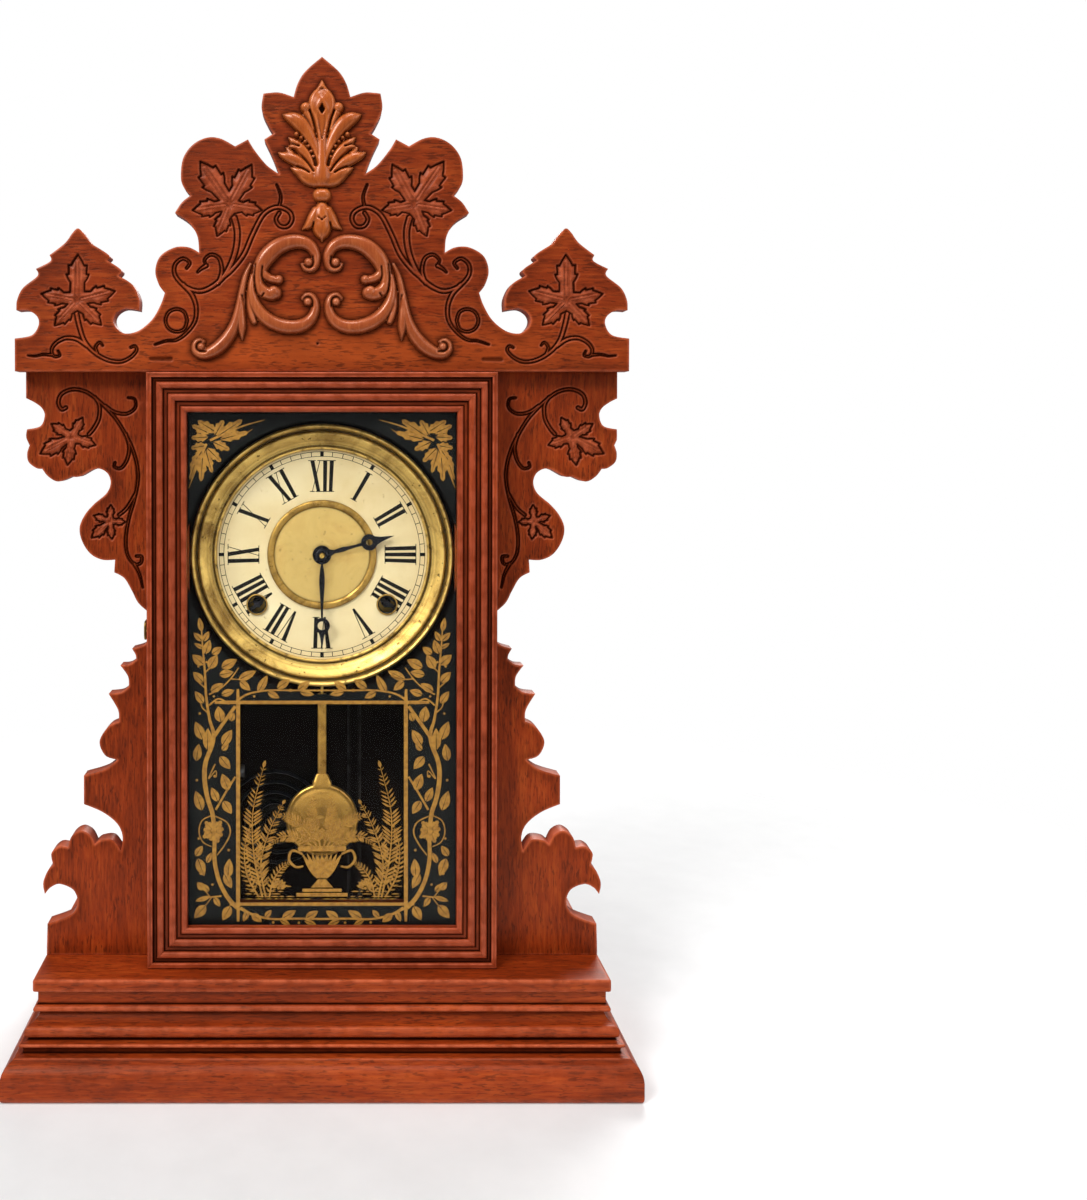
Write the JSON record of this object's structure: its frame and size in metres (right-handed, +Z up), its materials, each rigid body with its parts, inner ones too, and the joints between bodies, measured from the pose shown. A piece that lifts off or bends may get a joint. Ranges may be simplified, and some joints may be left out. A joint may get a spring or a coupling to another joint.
{
  "type": "shelf clock",
  "caption": "Wooden shelf clock with a scroll-cut crest and side boards, moulded base, glazed door, round dial, striking movement, pendulum and coil gong.",
  "frame": {"origin": "on the surface the clock stands on, under the middle of its base", "axes": "+Z up, the dial and door face -Y, +X to the right of someone facing the dial"},
  "size_m": [0.358, 0.136, 0.59],
  "materials": {
    "front_wood": "red-brown stain under an old satin varnish",
    "carved_wood": "golden brown stain, varnished",
    "case_wood": "red-brown stain, thin and worn",
    "raw_wood": "unfinished, dusty",
    "brass": "aged, lightly tarnished",
    "dial_paper": "cream paper, matt",
    "steel": "plain drawn steel",
    "blued_steel": "blued",
    "iron": "black japanned",
    "glass": "clear, painted behind in scene"
  },
  "bodies": {
    "root": {"base_top_board": "front_wood", "base_front_moulding": "front_wood", "base_left_moulding": "front_wood", "base_right_moulding": "front_wood", "left_side_ornament": "front_wood", "right_side_ornament": "front_wood", "crest_board": "front_wood", "crest_palmette": "carved_wood", "crest_scroll_left": "carved_wood", "crest_scroll_right": "carved_wood", "case_left_side": "case_wood", "case_right_side": "case_wood", "back_board_left": "case_wood", "back_board_right": "case_wood", "case_top": "raw_wood", "crest_brace": "raw_wood", "dial_mount_board": "raw_wood", "dial_pan": "brass", "dial_centre": "brass", "winding_grommet_left": "brass", "winding_grommet_right": "brass", "movement_front_plate": "brass", "movement_back_plate": "brass", "suspension_post": "brass", "latch_plate": "brass", "dial_face": "dial_paper", "hinge_pin_bottom": "steel", "hinge_pin_top": "steel", "time_mainspring": "steel", "strike_mainspring": "steel", "gong_coil": "blued_steel", "gong_base": "iron"},
    "door": {"door_left_stile": "front_wood", "door_right_stile": "front_wood", "door_top_rail": "front_wood", "door_bottom_rail": "front_wood", "door_glass": "glass", "glass_beads": "case_wood"},
    "latch": {"latch_tongue": "brass"},
    "hands": {"centre_arbor": "steel", "minute_hand": "blued_steel", "hand_washer": "brass"},
    "hour_work": {"hour_wheel": "brass", "hour_hand": "blued_steel"},
    "minute_work": {"minute_wheel": "brass"},
    "escape": {"escape_wheel": "brass"},
    "third": {"third_wheel": "brass"},
    "centre": {"centre_wheel": "brass"},
    "second": {"time_second_wheel": "brass"},
    "time_great": {"time_great_wheel": "brass"},
    "time_winder": {"time_winding_arbor": "steel"},
    "strike_winder": {"strike_winding_arbor": "steel"},
    "strike_great": {"strike_great_wheel": "brass"},
    "strike_second": {"strike_second_wheel": "brass"},
    "fly": {"strike_fly": "brass"},
    "hammer_body": {"hammer": "steel"},
    "pendulum": {"pendulum_rod": "steel", "pendulum_bob": "brass"},
    "nut": {"rating_nut": "brass"},
    "verge_body": {"verge": "steel"}
  },
  "joints": [
    {"name": "door_swing", "type": "hinge", "parent": "root", "child": "door", "pos_m": [0.0985, -0.0214, 0.234], "axis": [0, 0, 1], "range_deg": [0, 90]},
    {"name": "latch_flex", "type": "hinge", "parent": "root", "child": "latch", "pos_m": [-0.1027, -0.0095, 0.257], "axis": [0, 0, -1], "range_deg": [0, 8], "stiffness_Nm_per_rad": 0.2},
    {"name": "hands_turn", "type": "hinge", "parent": "root", "child": "hands", "pos_m": [0, 0, 0.299], "axis": [0, 1, 0], "continuous": true},
    {"name": "hour_turn", "type": "hinge", "parent": "root", "child": "hour_work", "pos_m": [0, 0, 0.299], "axis": [0, 1, 0], "continuous": true},
    {"name": "minute_work_turn", "type": "hinge", "parent": "root", "child": "minute_work", "pos_m": [0.01131, 0, 0.31031], "axis": [0, 1, 0], "continuous": true},
    {"name": "escape_turn", "type": "hinge", "parent": "root", "child": "escape", "pos_m": [0, 0, 0.257], "axis": [0, 1, 0], "continuous": true},
    {"name": "third_turn", "type": "hinge", "parent": "root", "child": "third", "pos_m": [-0.0084, 0, 0.27716], "axis": [0, 1, 0], "continuous": true},
    {"name": "centre_turn", "type": "hinge", "parent": "root", "child": "centre", "pos_m": [0, 0, 0.299], "axis": [0, 1, 0], "continuous": true},
    {"name": "second_turn", "type": "hinge", "parent": "root", "child": "second", "pos_m": [0.02294, 0, 0.29193], "axis": [0, 1, 0], "continuous": true},
    {"name": "time_great_turn", "type": "hinge", "parent": "root", "child": "time_great", "pos_m": [0.039, 0, 0.269], "axis": [0, 1, 0], "continuous": true},
    {"name": "time_winding", "type": "hinge", "parent": "root", "child": "time_winder", "pos_m": [0.039, 0, 0.269], "axis": [0, 1, 0], "continuous": true},
    {"name": "strike_winding", "type": "hinge", "parent": "root", "child": "strike_winder", "pos_m": [-0.039, 0, 0.269], "axis": [0, 1, 0], "continuous": true},
    {"name": "fly_turn", "type": "hinge", "parent": "root", "child": "fly", "pos_m": [-0.03022, 0, 0.31772], "axis": [0, 1, 0], "continuous": true},
    {"name": "strike_second_turn", "type": "hinge", "parent": "root", "child": "strike_second", "pos_m": [-0.039, 0, 0.297], "axis": [0, 1, 0], "continuous": true},
    {"name": "strike_great_turn", "type": "hinge", "parent": "root", "child": "strike_great", "pos_m": [-0.039, 0, 0.269], "axis": [0, 1, 0], "continuous": true},
    {"name": "hammer_swing", "type": "hinge", "parent": "root", "child": "hammer_body", "pos_m": [-0.056, 0, 0.239], "axis": [0, 1, 0], "range_deg": [0, 14]},
    {"name": "pendulum_swing", "type": "hinge", "parent": "root", "child": "pendulum", "pos_m": [0, -0.005, 0.277], "axis": [0, 1, 0], "range_deg": [-4, 4]},
    {"name": "verge_rock", "type": "hinge", "parent": "root", "child": "verge_body", "pos_m": [0, -0.005, 0.277], "axis": [0, 1, 0], "range_deg": [-4, 4]},
    {"name": "nut_turn", "type": "hinge", "parent": "pendulum", "child": "nut", "pos_m": [0, -0.005, 0.1132], "axis": [0, 0, 1], "continuous": true}
  ],
  "couplings": [
    {"joint": "hour_turn", "follows": "hands_turn", "ratio": 0.083333},
    {"joint": "minute_work_turn", "follows": "hands_turn", "ratio": -0.33333},
    {"joint": "third_turn", "follows": "escape_turn", "ratio": -0.076923},
    {"joint": "centre_turn", "follows": "escape_turn", "ratio": 0.0064103},
    {"joint": "second_turn", "follows": "escape_turn", "ratio": -0.0012821},
    {"joint": "time_great_turn", "follows": "escape_turn", "ratio": 0.00021368},
    {"joint": "strike_second_turn", "follows": "fly_turn", "ratio": -0.125},
    {"joint": "strike_great_turn", "follows": "fly_turn", "ratio": 0.020833},
    {"joint": "verge_rock", "follows": "pendulum_swing", "ratio": 1}
  ]
}
